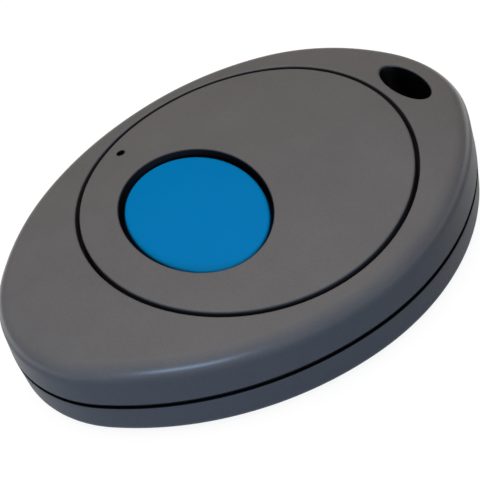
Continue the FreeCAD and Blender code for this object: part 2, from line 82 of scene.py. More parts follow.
pillars_from_disc = ((-13.5, 12.5), (-13.5, -12.5), (14.6, 5.6), (14.6, -5.6))
ring_hole_from_disc = 22.4
ring_hole_half = (1.95, 3.95)
ring_hole_wall = 1.2
ring_hole_lip = 0.3
well_radius = 10.25
well_wall = 0.8
well_height = 1.2
well_notch = 2.8           # half of the gap in the well that the clip lies in
post_margin = 0.8          # from a post to the window round it in the even grid
sleeve_margin = 0.45       # and from the ring hole's sleeve
brim_shade = (0.13, 0.07)  # where the groove's shade begins and is full, below the brim
ring_hole_shade = 0.12     # how far the shade in the ring hole reaches out on its lip


def span(node):
    """The lowest and the highest corner of a CAD node, in millimetres."""
    return np.array([list(corner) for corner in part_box(node)]) / mm


(blind_end, _, _), (ring_end, half_width, _) = span("lower_shell")
parting_level, seal_top = span("parting_seal")[:, 2]
board_level, board_top = span("circuit_board")[:, 2]
disc_x = span("face_disc")[:, 0].mean()
cell_x = span("coin_cell")[:, 0].mean()
disc_middle = (disc_x, 0.0)
ring_hole_middle = (disc_x + ring_hole_from_disc, 0.0)
screw_places = [(disc_x + x, y) for x, y in screws_from_disc]
pillar_places = [(disc_x + x, y) for x, y in pillars_from_disc]


def circle(turn, middle, radius):
    """Plan points of a circle at the given angles."""
    return np.stack([middle[0] + radius * np.cos(turn), middle[1] + radius * np.sin(turn)], -1)


def oval(turn, middle, half, out=0.0):
    """Plan points of an oval by its own angle, moved out along its normals."""
    normal = np.stack([np.cos(turn) / half[0], np.sin(turn) / half[1]], -1)
    normal /= np.linalg.norm(normal, axis=-1, keepdims=True)
    edge = np.stack([middle[0] + half[0] * np.cos(turn), middle[1] + half[1] * np.sin(turn)], -1)
    return edge + normal * out


def case_outline(inset):
    """Plan points of the almond outline, by the direction that each one faces.

    A point is the middle of its arc, a tip's or a side's, plus the arc's radius less the inset
    along that direction. A side's radius makes it tangent to the tip's arc and to the other
    half's side at the case's widest place.
    """
    ahead = np.cos(facing) >= 0
    tip = np.where(ahead, ring_tip_radius, blind_tip_radius)
    reach = np.where(ahead, ring_end - disc_x, disc_x - blind_end) - tip
    side = (reach**2 + half_width**2 - tip**2) / (2 * (half_width - tip))
    meet = np.arctan2(side - half_width, reach)
    on_tip = np.abs(np.arctan2(np.sin(facing), np.abs(np.cos(facing)))) < meet
    middle_x = disc_x + np.where(on_tip, np.where(ahead, reach, -reach), 0)
    middle_y = np.where(on_tip, 0, np.sign(np.sin(facing)) * (half_width - side))
    radius = np.where(on_tip, tip, side) - inset
    return np.stack([middle_x + radius * np.cos(facing), middle_y + radius * np.sin(facing)], -1)


def ring(plan, level):
    """A closed row of points from their plan and their level."""
    return np.column_stack([plan, np.broadcast_to(level, len(plan))])


def between(first, last, shares):
    """Rows of points on the straight lines from one row to another."""
    return [first + (last - first) * share for share in shares]


def flat(height):
    """The level of a flat face over any plan points."""
    return lambda plan: height


def hole_lip(outline, radius, level, turns, way=-1):
    """Rows of the rounding where a face turns into a hole, from the face inwards.

    At each angle of the quarter turn, a row lies the radius times one less the sine out of the
    hole's outline, and the radius times one less the cosine below the face, or above it with
    way 1.
    """
    rows = []
    for a in turns:
        plan = outline(radius * (1 - math.sin(a)))
        rows.append(ring(plan, level(plan) + way * radius * (1 - math.cos(a))))
    return rows


class Skin:
    """A surface as rows of points, each row closed on itself, in which windows may be opened."""

    def __init__(self, rows):
        self.points = np.array(rows)
        self.kept = np.ones((self.points.shape[0] - 1, self.points.shape[1]), bool)

    def open(self, first, last, left, right):
        """Leave out a block of cells, and return the loop of points round it."""
        self.kept[first:last, left:right] = False
        grid = self.points
        return np.concatenate([grid[first, left:right], grid[first:last, right],
                               grid[last, right:left:-1], grid[last:first:-1, left]])

    def block(self, middle, reach, first=1, last=-1):
        """The block of cells, between two rows, that a round window takes."""
        part = self.points[first:last]
        near = np.hypot(part[..., 0] - middle[0], part[..., 1] - middle[1]) < reach
        rows = np.nonzero(near.any(1))[0] + first
        cols = np.nonzero(near.any(0))[0]
        return rows[0], rows[-1], cols[0], cols[-1]

    def faces(self, start):
        """The corner numbers of the cells that are kept."""
        rows, cols = np.nonzero(self.kept)
        count = self.points.shape[1]
        after = (cols + 1) % count
        return np.stack([rows * count + cols, rows * count + after,
                         (rows + 1) * count + after, (rows + 1) * count + cols], -1) + start


def turned(middle, profile, steps=48):
    """A turned form on an upright axis, from the radii and levels of its profile."""
    turn = np.linspace(0, 2 * math.pi, steps, endpoint=False)
    return Skin([ring(circle(turn, middle, radius), level) for radius, level in profile])


def angle_in(loop, middle, half=(1.0, 1.0)):
    """The angle of each point of a loop round a middle, on an oval's own scale."""
    return np.arctan2((loop[:, 1] - middle[1]) / half[1], (loop[:, 0] - middle[0]) / half[0])


def inwards(loop, edge, level):
    """Rows from a window's loop in to the plan of a hole's edge, at the surface's level."""
    rows = between(loop[:, :2], edge, (0.25, 0.5, 0.75, 1.0))
    return [loop] + [ring(row, level(row)) for row in rows]


def build(name, skins, body, *nodes):
    """Make a piece of skins: points that meet are merged, and its faces are turned outwards."""
    starts = np.cumsum([0] + [skin.points.shape[0] * skin.points.shape[1] for skin in skins])
    points = np.concatenate([skin.points.reshape(-1, 3) for skin in skins])
    faces = np.concatenate([skin.faces(start) for skin, start in zip(skins, starts)])
    mesh = bpy.data.meshes.new(name)
    mesh.from_pydata(points * mm, [], faces)
    work = bmesh.new()
    work.from_mesh(mesh)
    bmesh.ops.remove_doubles(work, verts=work.verts, dist=2e-7)
    bmesh.ops.dissolve_degenerate(work, edges=work.edges, dist=1e-7)
    bmesh.ops.recalc_face_normals(work, faces=work.faces)
    work.to_mesh(mesh)
    work.free()
    mesh.shade_smooth()
    mesh.set_sharp_from_angle(angle=math.radians(30))
    piece = bpy.data.objects.new(name, mesh)
    bpy.context.scene.collection.objects.link(piece)
    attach(piece, body)
    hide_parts(*nodes)
    return piece


facing = seam + np.linspace(0, 2 * math.pi, columns, endpoint=False)
quarter = np.linspace(0, math.pi / 2, 9)
centre = np.tile(disc_middle, (columns, 1))
lean = lower_lean / parting_level
brim = [ring(case_outline(lean * edge_break + edge_break * (1 - math.cos(a))),
             parting_level - edge_break * (1 - math.sin(a))) for a in quarter[::-2]]
side = [ring(case_outline(lean * (parting_level - level)), level)
        for level in np.linspace(parting_level - edge_break, bottom_edge_radius, 6)]
foot_inset = lean * (parting_level - bottom_edge_radius)
foot = [ring(case_outline(foot_inset + bottom_edge_radius * (1 - math.cos(a))),
             bottom_edge_radius * (1 - math.sin(a))) for a in np.linspace(0, math.pi / 2, 13)]
shares = np.concatenate([[0], np.linspace(0.01, 1, 40)])   # a narrow strip first, then even ones
base = Skin([ring(plan, 0.0) for plan in between(foot[-1][:, :2], centre, shares)])
inner_wall = case_outline(wall)
floor = Skin([ring(plan, floor_level) for plan in between(inner_wall, centre, shares)])
tongue_top = parting_level + tongue_height
tongue = [brim[0], ring(case_outline(tongue_inset), parting_level),
          ring(case_outline(tongue_inset), tongue_top - edge_break),
          ring(case_outline(tongue_inset + edge_break), tongue_top),
          ring(case_outline(wall - edge_break), tongue_top),
          ring(inner_wall, tongue_top - edge_break), floor.points[0]]
skins = [Skin(brim + side + foot[1:]), base, floor, Skin(tongue)]
for place in screw_places:
    block = base.block(place, screw_post_radius + post_margin)
    below, above = base.open(*block), floor.open(*block)
    turn, turn_above = angle_in(below, place), angle_in(above, place)
    mouth = hole_lip(lambda out: circle(turn, place, head_recess_radius + out), head_recess_lip,
                     flat(0.0), quarter[::2], 1)
    bore = [(head_recess_radius, screw_seat), (screw_hole_radius, screw_seat),
            (screw_hole_radius, seal_top)]
    post = circle(turn_above, place, screw_post_radius)
    skins.append(Skin(
        inwards(below, mouth[0][:, :2], flat(0.0)) + mouth
        + [ring(circle(turn, place, radius), level) for radius, level in bore]
        + [ring(post, seal_top), ring(post, floor_level)]
        + inwards(above, post, flat(floor_level))[::-1]))
block = base.block(ring_hole_middle, ring_hole_half[1] + ring_hole_wall + sleeve_margin)
below, above = base.open(*block), floor.open(*block)
turn = angle_in(below, ring_hole_middle, ring_hole_half)
turn_above = angle_in(above, ring_hole_middle, ring_hole_half)
mouth = hole_lip(lambda out: oval(turn, ring_hole_middle, ring_hole_half, out), ring_hole_lip,
                 flat(0.0), quarter, 1)
sleeve = oval(turn_above, ring_hole_middle, ring_hole_half, ring_hole_wall)
skins.append(Skin(
    inwards(below, mouth[0][:, :2], flat(0.0)) + mouth
    + [ring(oval(turn, ring_hole_middle, ring_hole_half), seal_top), ring(sleeve, seal_top)]
    + inwards(above, sleeve, flat(floor_level))[::-1]))
for place in pillar_places:
    skins.append(turned(place, [(0, floor_level / 2), (pillar_radius, floor_level / 2),
                                (pillar_radius, board_level), (0, board_level)]))
half_turn = math.pi / 2 - math.asin(well_notch / well_radius)
well_top = floor_level + well_height
for side_turn in (0, math.pi):
    rows = []
    for turn in side_turn + np.linspace(-half_turn, half_turn, 80):
        ahead = np.array([math.cos(turn), math.sin(turn), 0])
        corners = ((well_radius, floor_level / 2), (well_radius, well_top),
                   (well_radius + well_wall, well_top), (well_radius + well_wall, floor_level / 2))
        rows.append([np.array([cell_x, 0, level]) + ahead * radius for radius, level in corners])
    ends = [np.tile(np.mean(row, 0), (4, 1)) for row in (rows[0], rows[-1])]
    skins.append(Skin(ends[:1] + rows + ends[1:]))
lower_shell = build("lower_tray", skins, "case", "lower_shell")


class Link:
    """A shader socket that can be reckoned with: each operator adds its Math node."""

    def __init__(self, finish, socket):
        self.finish = finish
        self.socket = socket

    def math(self, operation, *values):
        """The Math node of an operation on values or other links."""
        return self.finish.node("Math", {"operation": operation}, dict(enumerate(values)))

    def __add__(self, other):
        return self.math("ADD", self, other)

    def __sub__(self, other):
        return self.math("SUBTRACT", self, other)

    def __rsub__(self, other):
        return self.math("SUBTRACT", other, self)

    def __mul__(self, other):
        return self.math("MULTIPLY", self, other)

    def __gt__(self, other):
        return self.math("GREATER_THAN", self, other)

    __radd__ = __add__
    __rmul__ = __mul__


class Finish:
    """A material in the making, with one way to add a node to it."""

    def __init__(self, name, **constants):
        self.material = bpy.data.materials.new(name)
        self.material.use_nodes = True
        self.tree = self.material.node_tree
        self.shader = self.tree.nodes["Principled BSDF"]
        self.apply(**constants)

    def node(self, kind, settings, sockets, output=0):
        """Add a node of a kind: its settings first, then the values or links of its sockets."""
        made = self.tree.nodes.new("ShaderNode" + kind)
        for setting, value in settings.items():
            setattr(made, setting, value)
        for socket, value in sockets.items():
            self.join(value, made.inputs[socket])
        return Link(self, made.outputs[output])

    def join(self, value, socket):
        """Give a socket its value or its link."""
        if isinstance(value, Link):
            self.tree.links.new(value.socket, socket)
        else:
            socket.default_value = value

    def place(self, *stretch):
        """Object coordinates in millimetres, stretched along the three axes."""
        spot = self.node("TexCoord", {}, {}, "Object")
        scale = [s / mm for s in stretch or (1.0, 1.0, 1.0)]
        return self.node("VectorMath", {"operation": "MULTIPLY"}, {0: spot, 1: scale})

    def from_axis(self, middle, half=(1.0, 1.0)):
        """The distance from an upright axis, on an oval's own scale or in millimetres."""
        spot = self.place(1 / half[0], 1 / half[1], 0)
        start = (middle[0] / half[0], middle[1] / half[1], 0)
        across = self.node("VectorMath", {"operation": "SUBTRACT"}, {0: spot, 1: start})
        return self.node("VectorMath", {"operation": "LENGTH"}, {0: across}, "Value")

    def ramp(self, value, low, high):
        """0 at one value, 1 at another, and even in between."""
        return self.node("MapRange", {"clamp": True},
                         {"Value": value, "From Min": low, "From Max": high})

    def within(self, middle, half, out=0.0):
        """1 inside an upright oval hole, moved out by a little, and 0 outside."""
        size = [reach + out for reach in half]
        soft = edge_break / size[0]
        return 1 - self.ramp(self.from_axis(middle, size), 1 - soft, 1 + soft)

    def level(self):
        """The height in millimetres."""
        return self.node("SeparateXYZ", {}, {0: self.place()}, 2)

    def noise(self, scale, detail=2.0, roughness=0.5, spot=None):
        """Noise from 0 to 1, with so many lumps to the millimetre."""
        return self.node("TexNoise", {}, {"Vector": spot or self.place(), "Scale": scale,
                                          "Detail": detail, "Roughness": roughness})

    def mix(self, share, first, second):
        """A colour between two others."""
        return self.node("Mix", {"data_type": "RGBA"}, {0: share, 6: first, 7: second}, 2)

    def bump(self, height, depth):
        """A normal tilted by a height from 0 to 1 that stands for a depth in millimetres."""
        return self.node("Bump", {}, {"Height": height, "Distance": depth * mm})

    def apply(self, **inputs):
        """Give the shader's inputs their values or links, and return the material."""
        for socket, value in inputs.items():
            self.join(value, self.shader.inputs[socket.replace("_", " ")])
        return self.material


def rgb(red, green, blue):
    """A colour with full cover."""
    return (red, green, blue, 1.0)


def moulded(name, dark, light, rough, depth, sheen=0.3, painted_shade=None, rubbed=None):
    """Spark-textured moulded plastic: grain in the relief, and faint clouds in the colour.

    Where the shade mask gives 1, in gaps and holes, the wall is painted nearly black: painted
    shade. Where the attribute that rubbed names is 1, the texture is worn smooth and shines.
    """
    finish = Finish(name, Specular_IOR_Level=sheen, Coat_Roughness=0.3)
    clouds = finish.noise(0.12, 3.0, 0.6)
    grain = finish.noise(3.5, 4.0, 0.7)
    colour = finish.mix(clouds * 0.4 + grain * 0.6, rgb(*dark), rgb(*light))
    if painted_shade:
        # painted shade: the colour goes nearly black where the mask gives 1, in gaps and holes
        colour = finish.mix(painted_shade(finish), colour, rgb(0.004, 0.004, 0.005))
    if rubbed:
        finish.apply(Coat_Weight=finish.node("Attribute", {"attribute_name": rubbed}, {}, "Fac"))
    return finish.apply(Base_Color=colour, Normal=finish.bump(grain, depth),
                        Roughness=rough + 0.15 * (clouds - 0.5) + 0.15 * (grain - 0.5))


def case_plastic(name, painted_shade, rough=0.35, rubbed=None):
    """The grey plastic of the case, painted nearly black as shade where the mask gives 1."""
    return moulded(name, (0.109, 0.108, 0.108), (0.185, 0.183, 0.182), rough, depth=0.024,
                   sheen=0.05, painted_shade=painted_shade, rubbed=rubbed)


def lower_painted_shade(finish):
    """Painted shade in the lower shell's gaps: its rim under the seal, and the ring hole."""
    rim_gap = finish.ramp(finish.level(), *(parting_level - depth for depth in brim_shade))
    return rim_gap + finish.within(ring_hole_middle, ring_hole_half, ring_hole_shade)


lower_shell.data.materials.append(case_plastic("lower_plastic", lower_painted_shade, 0.4))

# The three screws hold the shells together from the back. They are zinc-plated, with a pan head,
# a cross recess and a thread that cuts its own way into the upper shell's bosses.
screw_sink = 0.5
head_radius = 1.8
head_flat = 1.35
cross_reach = 1.0
cross_half = 0.24
cross_depth = 0.7
cross_wall = 0.08          # the width that the recess's walls lean over
cross_end = 0.2            # and its ends
shank_radius = 0.95
plain_shank = 0.3
thread_depth = 0.22
thread_pitch = 0.75
thread_crest = 0.7         # under 1, so that the crests come out sharp
screw_tip = 7.7
tip_length = 1.2
tip_share = 0.25           # the tip's radius as a share of the shank's
tip_flat = 0.1
turn = np.linspace(0, 2 * math.pi, 96, endpoint=False)
skins = []
for place in screw_places:
    rows = []
    for radius in np.linspace(0, head_flat, 34):
        plan = circle(turn, (0, 0), radius)
        long, short = np.abs(plan).max(1), np.abs(plan).min(1)
        into = (np.clip((cross_half - short) / cross_wall, 0, 1)
                * np.clip((cross_reach - long) / cross_end, 0, 1))
        rows.append(ring(plan + place, screw_sink + cross_depth * into))
    head_round = head_radius - head_flat
    for a in quarter:
        rows.append(ring(circle(turn, place, head_flat + head_round * math.sin(a)),
                         screw_sink + head_round * (1 - math.cos(a))))
    for radius in (head_radius, shank_radius):
        rows.append(ring(circle(turn, place, radius), screw_seat))
    for level in np.arange(screw_seat + plain_shank, screw_tip - tip_flat, thread_pitch / 10):
        phase = (level / thread_pitch - turn / (2 * math.pi)) % 1
        taper = tip_share + (1 - tip_share) * np.clip((screw_tip - level) / tip_length, 0, 1)
        ridge = 1 - np.abs(2 * phase - 1) ** thread_crest
        radius = (shank_radius - thread_depth + thread_depth * ridge) * taper
        rows.append(ring(circle(turn, place, radius), level))
    rows.append(ring(circle(turn, place, 0), screw_tip))
    skins.append(Skin(rows))
screws = build("back_screws", skins, "case", "case_screws")
finish = Finish("screw_steel", Metallic=1.0)
cloud, scratch = finish.noise(0.8, 3.0), finish.noise(9.0, 2.0)
screws.data.materials.append(finish.apply(
    Base_Color=finish.mix(cloud, rgb(0.42, 0.42, 0.43), rgb(0.60, 0.60, 0.60)),
    Roughness=0.3 + 0.25 * cloud, Normal=finish.bump(scratch, 0.006)))


# The coin cell lies in the well on a sprung strip. Its can is nickel-plated steel with the fine
# rings of its drawing, and the strip and the round contact above it are bent from sheet.
def dress(material, *nodes):
    """Give a finish to CAD nodes that keep their own mesh."""
    for node in nodes:
        mesh = frame["nodes"][node].data
        mesh.materials.clear()
        mesh.materials.append(material)


finish = Finish("cell_steel", Metallic=1.0)
from_cell = finish.from_axis((cell_x, 0.0))
circles = finish.noise(14.0, 2.0, 0.6, finish.node("CombineXYZ", {}, {0: from_cell}))
haze = finish.noise(0.4, 3.0)
dress(finish.apply(Base_Color=finish.mix(haze, rgb(0.60, 0.60, 0.57), rgb(0.68, 0.68, 0.66)),
                   Roughness=0.22 + 0.15 * circles + 0.1 * haze,
                   Normal=finish.bump(circles, 0.003)), "coin_cell")


def sheet_metal(name, dark, light, stretch, rough):
    """Rolled sheet: fine lines along one axis over soft clouds."""
    finish = Finish(name, Metallic=1.0)
    lines = finish.noise(1.0, 3.0, 0.6, finish.place(*stretch))
    haze = finish.noise(0.7, 3.0)
    return finish.apply(Base_Color=finish.mix(haze, rgb(*dark), rgb(*light)),
                        Roughness=rough + 0.2 * (lines - 0.5), Normal=finish.bump(lines, 0.003))


spring_steel = sheet_metal("spring_steel", (0.52, 0.52, 0.51), (0.62, 0.62, 0.61),
                           (0.6, 22.0, 22.0), 0.3)
dress(spring_steel, "cell_clip", "switch_cover")
dress(sheet_metal("contact_metal", (0.74, 0.52, 0.20), (0.86, 0.65, 0.30), (18.0, 0.6, 18.0), 0.28),
      "cell_contact", "antenna_loop")

# The board is glass laminate under a green solder mask, through which the copper areas show as a
# lighter relief with thin gaps. Its parts are soldered on: tinned leads, black moulded chips and
# small blocks.
finish = Finish("board_laminate", Coat_Weight=0.4, Coat_Roughness=0.15)
weave = finish.noise(5.0, 1.0, 0.5)
near, next_near = (
    finish.node("TexVoronoi",
                {"voronoi_dimensions": "2D", "distance": "MANHATTAN", "feature": feature},
                {"Vector": finish.place(0.22, 0.22, 0), "Scale": 1.0, "Randomness": 0.8})
    for feature in ("F1", "F2"))
copper = finish.ramp(next_near - near, 0.04, 0.08)
dress(finish.apply(
    Base_Color=finish.mix(copper, rgb(0.012, 0.11, 0.045),
                          finish.mix(weave, rgb(0.02, 0.17, 0.07), rgb(0.03, 0.21, 0.09))),
    Roughness=0.4 - 0.1 * copper + 0.1 * weave,
    Normal=finish.bump(copper * 0.8 + weave * 0.2, 0.03)), "circuit_board")
finish = Finish("tinned_metal", Metallic=1.0)
flow = finish.noise(2.5, 3.0, 0.6)
dress(finish.apply(Base_Color=finish.mix(flow, rgb(0.50, 0.50, 0.48), rgb(0.66, 0.66, 0.64)),
                   Roughness=0.25 + 0.3 * flow, Normal=finish.bump(flow, 0.02)),
      "switch_leads", "microcontroller_leads", "crystal_can")
dress(moulded("chip_resin", (0.014, 0.014, 0.015), (0.026, 0.026, 0.028), 0.55, 0.012),
      "microcontroller", "radio_chip", "chip_resistors")
dress(moulded("capacitor_ceramic", (0.38, 0.27, 0.17), (0.50, 0.38, 0.26), 0.45, 0.008),
      "chip_capacitors")
dress(moulded("inductor_ferrite", (0.09, 0.09, 0.10), (0.14, 0.14, 0.15), 0.6, 0.02),
      "chip_inductors")
finish = Finish("lamp_resin", Subsurface_Weight=0.5, Subsurface_Scale=0.0005, Coat_Weight=0.5)
milk = finish.noise(1.5, 2.0)
dress(finish.apply(Base_Color=finish.mix(milk, rgb(0.80, 0.78, 0.62), rgb(0.88, 0.86, 0.76)),
                   Roughness=0.2 + 0.2 * milk, Normal=finish.bump(milk, 0.01)), "status_led")

# The tact switch has a black moulded base and plunger. The plunger stands on a thin sprung dome,
# a shallow cap of a sphere.
press = frame["record"]["behaviour"]["joints"][0]
press_travel = press["range_m"][1] / mm
dome_thickness = 0.1
(low_x, _, dome_foot), (high_x, _, dome_top) = span("switch_dome")
dome_middle = ((low_x + high_x) / 2, 0.0)
dome_reach = (high_x - low_x) / 2
dome_rise = dome_top - dome_foot
dome_radius = (dome_reach**2 + dome_rise**2) / (2 * dome_rise)
dress(moulded("switch_plastic", (0.022, 0.022, 0.022), (0.036, 0.036, 0.036), 0.45, 0.01),
      "switch_base", "switch_plunger")
centre_level = dome_top - dome_radius
profile = []
for radius, way in ((dome_radius, 1), (dome_radius - dome_thickness, -1)):
    tilt = math.acos((dome_foot - centre_level) / radius)
    profile += [(radius * math.sin(a), centre_level + radius * math.cos(a))
                for a in np.linspace(0, tilt, 16)[::way]]
dome = build("snap_dome", [turned(dome_middle, profile, 96)], "case", "switch_dome")
dome.data.materials.append(spring_steel)
1 - press_travel / dome_rise
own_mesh(dome)

# The button's stem rests on the plunger, and an oval silicone sleeve round the switch stands on the
# board and lifts the button again.
pad_wall = 1.0
pad_give = 0.02            # more than the travel, so that it doesn't cut into the flange
(low_x, low_y, pad_foot), (high_x, high_y, pad_top) = span("return_pad")
pad_middle = ((low_x + high_x) / 2, 0.0)
pad_half = ((high_x - low_x) / 2, (high_y - low_y) / 2)
turn = np.linspace(0, 2 * math.pi, 192, endpoint=False)
profile = ((0, pad_foot), (0, pad_top - edge_break), (edge_break, pad_top),
           (pad_wall - edge_break, pad_top), (pad_wall, pad_top - edge_break),
           (pad_wall, pad_foot), (0, pad_foot))
rows = [ring(oval(turn, pad_middle, pad_half, -inset), level) for inset, level in profile]
pad = build("pad_sleeve", [Skin(rows)], "case", "return_pad")
finish = Finish("silicone", Subsurface_Weight=0.4, Subsurface_Scale=0.001, Specular_IOR_Level=0.35)
haze, pores = finish.noise(0.3, 3.0), finish.noise(5.0, 2.0)
pad.data.materials.append(finish.apply(
    Base_Color=finish.mix(haze, rgb(0.50, 0.51, 0.50), rgb(0.60, 0.61, 0.60)),
    Roughness=0.5 + 0.2 * haze, Normal=finish.bump(pores, 0.01)))
1 - (press_travel + pad_give) / (pad_top - pad_foot)
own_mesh(pad)

# The seal is a flat black rubber ring between the shells. It lies a little inside the wall, and
# makes the dark groove round the case.
seal_inset = 0.3
seal_width = 0.6
profile = ((seal_inset, parting_level), (seal_inset, seal_top),
           (seal_inset + seal_width, seal_top), (seal_inset + seal_width, parting_level),
           (seal_inset, parting_level))
rows = [ring(case_outline(inset), level) for inset, level in profile]
seal = build("seal_ring", [Skin(rows)], "case", "parting_seal")
finish = Finish("seal_rubber", Specular_IOR_Level=0.15)
bloom = finish.noise(1.5, 3.0)
seal.data.materials.append(finish.apply(
    Base_Color=finish.mix(bloom, rgb(0.004, 0.004, 0.005), rgb(0.010, 0.010, 0.011)),
    Roughness=0.7 + 0.15 * bloom, Normal=finish.bump(finish.noise(6.0), 0.008)))

# The upper shell is moulded in the same plastic. Its crown is one long arc along the case that
# rolls down towards both tips, with a wider arc across, and it holds the round recess of the disc.
crown_top = 12.0
spine_radius = 316.0
roll_radius = 56.0
ring_roll_start = 14.0     # from the middle of the disc
blind_roll_start = 18.0
cross_radius = 104.0
upper_lean = 0.3           # how far the side comes in from the seal to the crown's top
top_edge_radius = 2.2
recess_radius = 19.225
recess_lip = 0.25
recess_wall = 1.6
deck_top = 9.0
deck_bottom = 7.9
deck_hole_grow = 1.0
button_hole_half = (7.85, 10.4)
rebate_inset = 0.8
rebate_top = 5.8
boss_gap = 0.1
pilot_radius = 1.0
pilot_top = 8.0
seal_shade = (0.17, 0.11)  # where the groove's shade begins and is full, above the seal
recess_shade = 0.02        # how far the shade in the recess reaches out on its lip
rim_tilt = 0.6             # the upward part of the normal where the rim is most worn
rim_spread = 0.25
button_middle = (span("push_button")[:, 0].mean(), 0.0)


def crown(plan, drop=0.0):
    """The level of the crown over plan points, less a drop.

    Across the case, a point sinks by the sagitta of the cross arc. Along it, the level is that of
    an arc with what is left of its radius: the long arc's, and past each roll's start the tighter
    arc's, whose middle lies on the long arc's radius there, so that the two are tangent.
    """
    along = plan[..., 0] - disc_x
    sunk = cross_radius - np.sqrt(cross_radius**2 - plan[..., 1]**2)
    held = np.clip(along, -blind_roll_start, ring_roll_start)
    level = np.sqrt((spine_radius - sunk)**2 - held**2) - spine_radius
    share = 1 - roll_radius / spine_radius
    for start, past in ((ring_roll_start, along > ring_roll_start),
                        (-blind_roll_start, along < -blind_roll_start)):
        reach = np.where(past, along - start * share, 0)
        roll_middle = math.sqrt(spine_radius**2 - start**2) * share - spine_radius
        level = np.where(past, roll_middle + np.sqrt((roll_radius - sunk)**2 - reach**2), level)
    return crown_top - drop + level


def rim(radius, steps=15):
    """Rows of the rounding between the leaning side and the crown.

    Across the rim, the arc's middle lies one radius in from the side's line and one radius under
    the crown's tangent. The place where the arc meets the crown is found in a few rounds.
    """
    tilt = math.atan(lean)
    inset, probe = radius, 0.01
    for _ in range(8):
        level = crown(case_outline(inset))
        fall = np.arctan((crown(case_outline(inset + probe)) - level) / probe)
        middle_level = level - radius * np.cos(fall)
        side_inset = lean * (middle_level + radius * math.sin(tilt) - seal_top)
        middle_inset = side_inset + radius * math.cos(tilt)
        inset = middle_inset - radius * np.sin(fall)
    climbs = [tilt + share * (math.pi / 2 - fall - tilt) for share in np.linspace(0, 1, steps)]
    return [ring(case_outline(middle_inset - radius * np.cos(climb)),
                 middle_level + radius * np.sin(climb)) for climb in climbs]


lean = upper_lean / (crown_top - seal_top)
shoulder = rim(top_edge_radius)
brim = [ring(case_outline(edge_break * (1 - math.cos(a))),
             seal_top + edge_break * (1 - math.sin(a))) for a in quarter[::-2]]
side = []
for share in np.linspace(0, 1, 6)[:-1]:
    level = seal_top + edge_break + share * (shoulder[0][:, 2] - seal_top - edge_break)
    side.append(ring(case_outline(lean * (level - seal_top)), level))
outer_plan = shoulder[-1][:, :2]
polar = angle_in(outer_plan, disc_middle)
lip = hole_lip(lambda out: circle(polar, disc_middle, recess_radius + out), recess_lip, crown,
               quarter)
top = Skin([ring(plan, crown(plan)) for plan in between(outer_plan, lip[0][:, :2], shares)])
deck_hole = oval(polar, button_middle, button_hole_half, deck_hole_grow)
deck = [ring(plan, deck_top)
        for plan in between(lip[-1][:, :2], deck_hole, np.linspace(0, 1, 12))]
tower_radius = recess_radius + recess_wall
hollow = (np.hypot(*(inner_wall - disc_middle).T) > tower_radius) & (inner_wall[:, 0] < disc_x)
ceiling_edge = np.where(hollow[:, None], circle(polar, disc_middle, tower_radius), inner_wall)
under_deck = circle(polar, disc_middle, recess_radius - wall / 2)
ceiling_plans = (between(ceiling_edge, under_deck, shares)
                 + between(under_deck, deck_hole, np.linspace(0, 1, 10))[1:])
ceiling = Skin([ring(plan, deck_bottom) for plan in ceiling_plans])
roof = [ring(plan, np.where(hollow, crown(plan, wall), deck_bottom))
        for plan in between(ceiling_edge, inner_wall, np.linspace(0, 1, 14))]
rebate = [ring(inner_wall, rebate_top), ring(case_outline(rebate_inset), rebate_top),
          ring(case_outline(rebate_inset), seal_top), brim[0]]
skins = [Skin(brim + side + shoulder), top, Skin(lip + deck),
         Skin([deck[-1], ceiling.points[-1]]), ceiling, Skin([ceiling.points[0]] + roof + rebate)]
block = top.block(ring_hole_middle, ring_hole_half[1] + ring_hole_wall + sleeve_margin, last=-2)
above, below = top.open(*block), ceiling.open(*block)
turn = angle_in(above, ring_hole_middle, ring_hole_half)
turn_below = angle_in(below, ring_hole_middle, ring_hole_half)
mouth = hole_lip(lambda out: oval(turn, ring_hole_middle, ring_hole_half, out), ring_hole_lip,
                 crown, quarter)
sleeve = oval(turn_below, ring_hole_middle, ring_hole_half, ring_hole_wall)
skins.append(Skin(
    inwards(above, mouth[0][:, :2], crown) + mouth
    + [ring(oval(turn, ring_hole_middle, ring_hole_half), seal_top), ring(sleeve, seal_top)]
    + inwards(below, sleeve, flat(deck_bottom))[::-1]))
root_level = deck_top - edge_break
for place in screw_places:
    foot_level = seal_top + boss_gap
    skins.append(turned(place, [(0, pilot_top), (pilot_radius, pilot_top),
                                (pilot_radius, foot_level), (screw_post_radius, foot_level),
                                (screw_post_radius, root_level), (0, root_level)]))
for place in pillar_places:
    skins.append(turned(place, [(0, board_top), (pillar_radius, board_top),
                                (pillar_radius, root_level), (0, root_level)]))
upper_shell = build("upper_cover", skins, "case", "upper_shell")


def upper_painted_shade(finish):
    """Painted shade in the upper shell's gaps: its rim over the seal, the recess, the ring hole."""
    recess = finish.within(disc_middle, (recess_radius, recess_radius), recess_shade)
    rim_gap = finish.ramp(finish.level(), *(seal_top + height for height in seal_shade))
    return (recess * (finish.level() > deck_bottom) + rim_gap
            + finish.within(ring_hole_middle, ring_hole_half, ring_hole_shade))


# Hands and pockets rub the rim smooth, most of all where it faces outwards and up alike.
spots, normals = (np.empty(len(upper_shell.data.vertices) * 3) for _ in range(2))
upper_shell.data.vertices.foreach_get("co", spots)
upper_shell.data.vertices.foreach_get("normal", normals)
on_rim = spots[2::3] / mm > seal_top + top_edge_radius / 2
worn = on_rim * np.clip(1 - np.abs(normals[2::3] - rim_tilt) / rim_spread, 0, 1)
upper_shell.data.attributes.new("rubbed", "FLOAT", "POINT").data.foreach_set("value", worn)
upper_shell.data.materials.append(case_plastic("upper_plastic", upper_painted_shade, rubbed="rubbed"))

